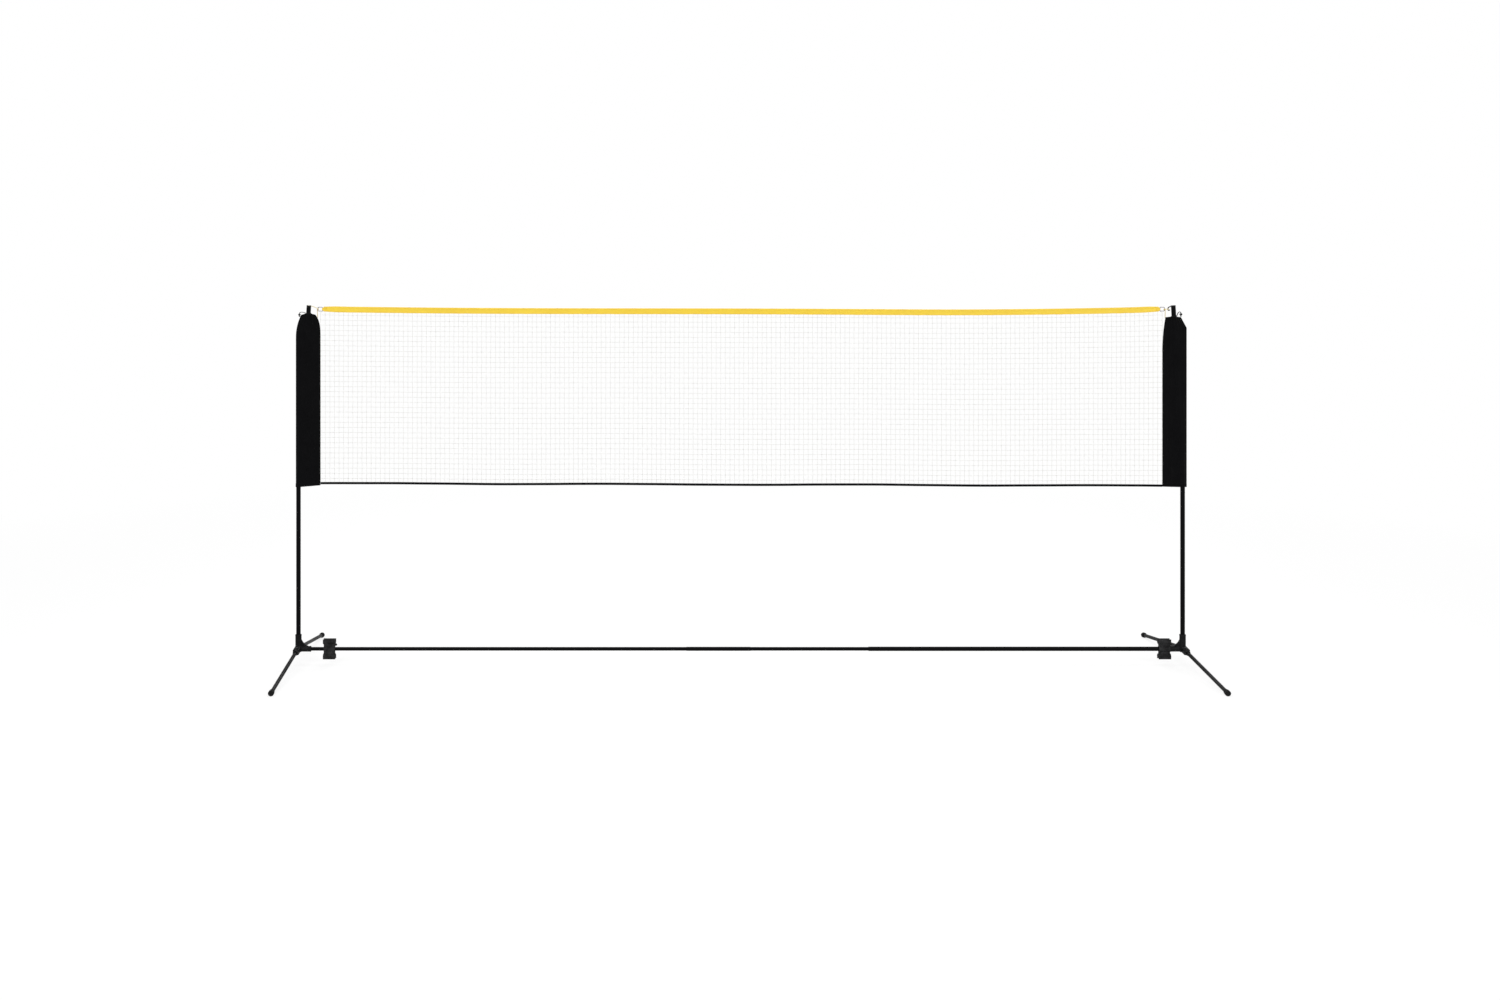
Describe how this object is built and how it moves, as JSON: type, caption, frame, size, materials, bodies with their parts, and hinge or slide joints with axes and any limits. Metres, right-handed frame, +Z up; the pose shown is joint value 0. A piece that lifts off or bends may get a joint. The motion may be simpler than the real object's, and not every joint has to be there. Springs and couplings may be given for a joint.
{
  "type": "free-standing portable sports net",
  "caption": "Portable free-standing sports net: steel-tube base with fold-in legs, plug-in poles in fabric sleeves, fine mesh with a taped head.",
  "frame": {"origin": "on the floor, midway between the two poles, in the net's plane", "axes": "+X along the net to the right, +Y to the rear, +Z up"},
  "size_m": [3.9623, 1.0322, 1.5975],
  "materials": {
    "tube": "satin black powder coat",
    "moulding": "fine-grained black polypropylene",
    "clip": "fine-grained charcoal polypropylene",
    "foot_rubber": "matte black rubber",
    "pin_steel": "blackened steel rivet",
    "ring_steel": "bright zinc-plated wire",
    "coated_wire": "black dipped wire",
    "sleeve": "tightly woven black polyester",
    "black_cord": "braided black cord",
    "black_tape": "woven black tape",
    "yellow_tape": "coated golden-yellow tape, stitched",
    "yellow_elastic": "pale yellow elastic",
    "yellow_cord": "braided yellow cord",
    "net": "knotted ivory twine"
  },
  "bodies": {
    "base": {"left_elbow": "moulding", "right_elbow": "moulding", "left_crossbar_tube": "tube", "crossbar_ferrule": "tube", "middle_crossbar_tube": "tube", "right_crossbar_tube": "tube", "left_lower_pole": "tube", "right_lower_pole": "tube", "hinge_pins": "pin_steel"},
    "upper_frame": {"left_upper_pole": "tube", "right_upper_pole": "tube", "left_pole_cap": "moulding", "right_pole_cap": "moulding", "tension_hook": "coated_wire", "left_pole_sleeve": "sleeve", "right_pole_sleeve": "sleeve", "left_drawcord": "black_cord", "right_drawcord": "black_cord", "left_cord_lock": "clip", "right_cord_lock": "clip", "top_tape": "yellow_tape", "bottom_tape": "black_tape", "net_mesh": "net", "left_ring": "ring_steel", "right_ring": "ring_steel", "left_tie_band": "yellow_elastic", "right_tie_band": "yellow_elastic", "left_corner_cord": "yellow_cord", "right_corner_cord": "yellow_cord"},
    "left_clip": {"left_storage_clip": "clip"},
    "right_clip": {"right_storage_clip": "clip"},
    "front_left_leg": {"front_left_leg_knuckle": "moulding", "front_left_leg_tube": "tube", "front_left_foot_cap": "foot_rubber"},
    "front_right_leg": {"front_right_leg_knuckle": "moulding", "front_right_leg_tube": "tube", "front_right_foot_cap": "foot_rubber"},
    "rear_left_leg": {"rear_left_leg_knuckle": "moulding", "rear_left_leg_tube": "tube", "rear_left_foot_cap": "foot_rubber"},
    "rear_right_leg": {"rear_right_leg_knuckle": "moulding", "rear_right_leg_tube": "tube", "rear_right_foot_cap": "foot_rubber"}
  },
  "joints": [
    {"name": "upper_frame_lift", "type": "slide", "parent": "base", "child": "upper_frame", "axis": [0, 0, 1], "range_m": [0, 0.06]},
    {"name": "front_left_leg_fold", "type": "hinge", "parent": "base", "child": "front_left_leg", "pos_m": [-1.965, -0.033, 0.07], "axis": [0, -0.1215, 0.9926], "range_deg": [0, 90]},
    {"name": "front_right_leg_fold", "type": "hinge", "parent": "base", "child": "front_right_leg", "pos_m": [1.965, -0.033, 0.07], "axis": [0, 0.1215, -0.9926], "range_deg": [0, 90]},
    {"name": "rear_left_leg_fold", "type": "hinge", "parent": "base", "child": "rear_left_leg", "pos_m": [-1.965, 0.033, 0.07], "axis": [0, -0.1215, -0.9926], "range_deg": [0, 90]},
    {"name": "rear_right_leg_fold", "type": "hinge", "parent": "base", "child": "rear_right_leg", "pos_m": [1.965, 0.033, 0.07], "axis": [0, 0.1215, 0.9926], "range_deg": [0, 90]},
    {"name": "left_clip_swivel", "type": "hinge", "parent": "base", "child": "left_clip", "pos_m": [-1.827, 0, 0.07], "axis": [1, 0, 0], "range_deg": [-90, 90]},
    {"name": "right_clip_swivel", "type": "hinge", "parent": "base", "child": "right_clip", "pos_m": [1.883, 0, 0.07], "axis": [1, 0, 0], "range_deg": [-90, 90]}
  ]
}
